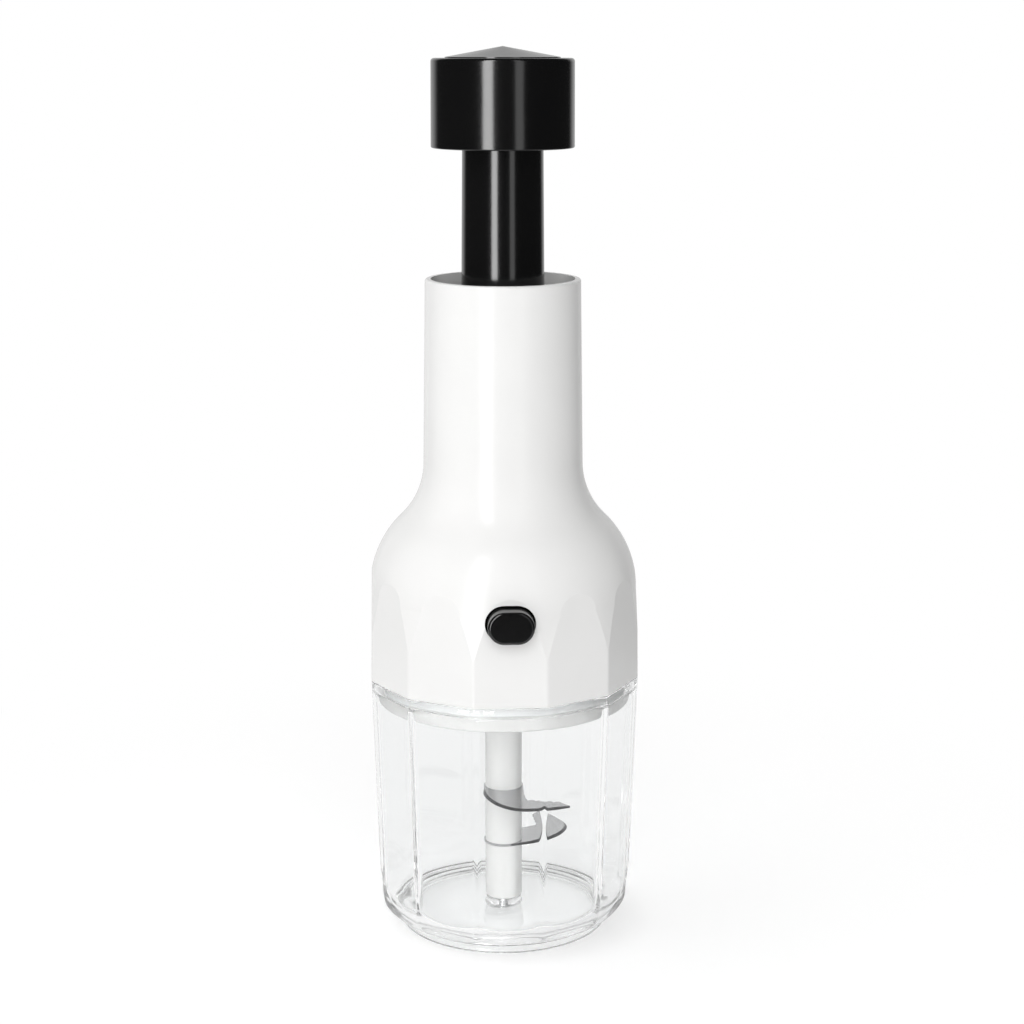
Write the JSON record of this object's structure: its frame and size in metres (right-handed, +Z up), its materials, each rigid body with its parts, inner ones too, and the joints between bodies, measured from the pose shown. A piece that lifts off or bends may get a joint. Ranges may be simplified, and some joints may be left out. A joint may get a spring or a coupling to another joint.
{
  "type": "plunger food chopper",
  "caption": "Hand chopper: pressing the sprung plunger turns sickle blades in a clear faceted cup through a twisted rod, and a side button latches it down.",
  "frame": {"origin": "on the vertical axis, in the plane of the foot ring that the cup stands on", "axes": "+Z up along the plunger, -Y out of the facet that carries the button"},
  "size_m": [0.0826, 0.0877, 0.2734],
  "materials": {
    "clear_plastic": "clear glossy moulded plastic",
    "white_gloss": "glossy white moulded plastic",
    "black_gloss": "glossy black moulded plastic",
    "white_nylon": "satin white moulded plastic",
    "natural_plastic": "natural moulded plastic",
    "bearing_plastic": "satin bearing plastic",
    "seal_silicone": "soft white silicone",
    "blade_steel": "ground stainless sheet",
    "steel": "turned steel",
    "spring_steel": "bright spring wire"
  },
  "bodies": {
    "cup": {"cup": "clear_plastic", "pivot_pin": "steel"},
    "blades": {"shaft_foot": "white_nylon", "blade_spacer": "white_nylon", "shaft_top": "white_nylon", "blade_core": "steel", "upper_blade": "blade_steel", "lower_blade": "blade_steel"},
    "housing": {"housing_shell": "white_gloss", "base_plate": "white_gloss", "seal_ring": "seal_silicone", "base_screws": "steel", "guide_sleeve": "natural_plastic", "sleeve_screws": "steel", "collar_bush": "bearing_plastic", "bearing_bush": "bearing_plastic", "return_spring": "spring_steel", "button_spring": "spring_steel"},
    "drive": {"twist_rod": "steel", "drive_hub": "bearing_plastic", "thrust_washer": "steel", "retaining_clip": "spring_steel"},
    "plunger": {"plunger_tube": "black_gloss", "drive_nut": "bearing_plastic", "nut_pins": "steel", "knob_shell": "black_gloss", "knob_base": "black_gloss", "knob_cap": "black_gloss", "knob_screw": "steel"},
    "button": {"release_button": "black_gloss", "latch_slide": "natural_plastic"}
  },
  "joints": [
    {"name": "housing_lift", "type": "slide", "parent": "cup", "child": "housing", "axis": [0, 0, 1], "range_m": [0, 0.1]},
    {"name": "blade_spin", "type": "hinge", "parent": "cup", "child": "blades", "pos_m": [0, 0, 0.01], "axis": [0, 0, 1], "range_deg": [0, 541]},
    {"name": "plunger_press", "type": "slide", "parent": "housing", "child": "plunger", "axis": [0, 0, 1], "range_m": [-0.0644, 0], "stiffness_N_per_m": 300, "springref_m": 0.017, "deforming": ["return_spring"]},
    {"name": "drive_spin", "type": "hinge", "parent": "housing", "child": "drive", "pos_m": [0, 0, 0.08], "axis": [0, 0, 1], "range_deg": [0, 541]},
    {"name": "button_press", "type": "slide", "parent": "housing", "child": "button", "axis": [0, 1, 0], "range_m": [0, 0.0024], "stiffness_N_per_m": 350, "springref_m": -0.002, "deforming": ["button_spring"]}
  ],
  "couplings": [
    {"joint": "drive_spin", "follows": "plunger_press", "rad_per_m": -146.35},
    {"joint": "blade_spin", "follows": "plunger_press", "rad_per_m": -146.35}
  ]
}
